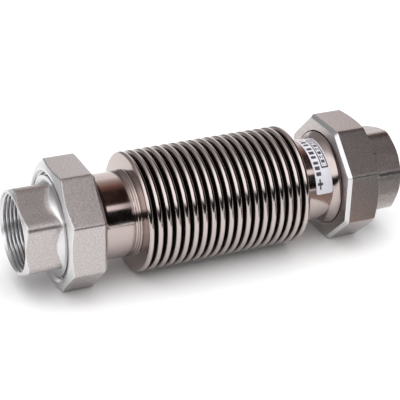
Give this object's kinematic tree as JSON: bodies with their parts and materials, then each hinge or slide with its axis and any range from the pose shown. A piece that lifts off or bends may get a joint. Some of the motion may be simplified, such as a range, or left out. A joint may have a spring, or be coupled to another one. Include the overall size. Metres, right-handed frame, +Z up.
{
  "type": "metal bellows expansion joint with union ends",
  "caption": "Corrugated steel bellows expansion joint for a pipe, with plain necks, octagonal union nuts and hexagonal threaded pipe sockets.",
  "frame": {"origin": "on the pipe axis, half way along the part, which is the centre of its bounding box", "axes": "+X along the pipe axis towards the end that carries the label, +Z up when the part lies on the flats of its two union nuts, +Y completes the right-handed frame"},
  "size_m": [0.247, 0.074, 0.074],
  "materials": {
    "bellows_steel": "polished austenitic stainless sheet, faintly warm, black in the grooves",
    "neck_steel": "turned and polished stainless tube, mirror-like, with a warm heat tint",
    "liner_steel": "bright drawn stainless tube",
    "cast_nut_steel": "blasted investment-cast stainless, matt grey, turned bevels bright",
    "cast_end_steel": "blasted investment-cast stainless, matt grey, threads and end face machined bright",
    "gasket_sheet": "pressed fibre and elastomer flat seal, matt",
    "label_film": null
  },
  "bodies": {
    "left_half": {"left_neck": "neck_steel", "left_cuff_ring": "neck_steel", "left_gasket": "gasket_sheet", "guide_sleeve": "liner_steel", "bellows": "bellows_steel"},
    "right_half": {"right_neck": "neck_steel", "right_cuff_ring": "neck_steel", "right_gasket": "gasket_sheet", "rating_label": "label_film"},
    "left_nut": {"left_union_nut": "cast_nut_steel"},
    "right_nut": {"right_union_nut": "cast_nut_steel"},
    "left_pipe_end": {"left_union_end": "cast_end_steel"},
    "right_pipe_end": {"right_union_end": "cast_end_steel"}
  },
  "joints": [
    {"name": "bellows_travel", "type": "slide", "parent": "left_half", "child": "right_half", "axis": [1, 0, 0], "range_m": [-0.015, 0.015], "stiffness_N_per_m": 45000, "deforming": ["bellows"]},
    {"name": "left_nut_turn", "type": "hinge", "parent": "left_half", "child": "left_nut", "pos_m": [-0.09, 0, 0], "axis": [1, 0, 0], "range_deg": [0, 1800]},
    {"name": "right_nut_turn", "type": "hinge", "parent": "right_half", "child": "right_nut", "pos_m": [0.09, 0, 0], "axis": [-1, 0, 0], "range_deg": [0, 1800]},
    {"name": "left_end_travel", "type": "slide", "parent": "left_half", "child": "left_pipe_end", "axis": [-1, 0, 0], "range_m": [0, 0.0116]},
    {"name": "right_end_travel", "type": "slide", "parent": "right_half", "child": "right_pipe_end", "axis": [1, 0, 0], "range_m": [0, 0.0116]}
  ],
  "couplings": [
    {"joint": "left_end_travel", "follows": "left_nut_turn", "m_per_rad": 0.00036749},
    {"joint": "right_end_travel", "follows": "right_nut_turn", "m_per_rad": 0.00036749}
  ]
}
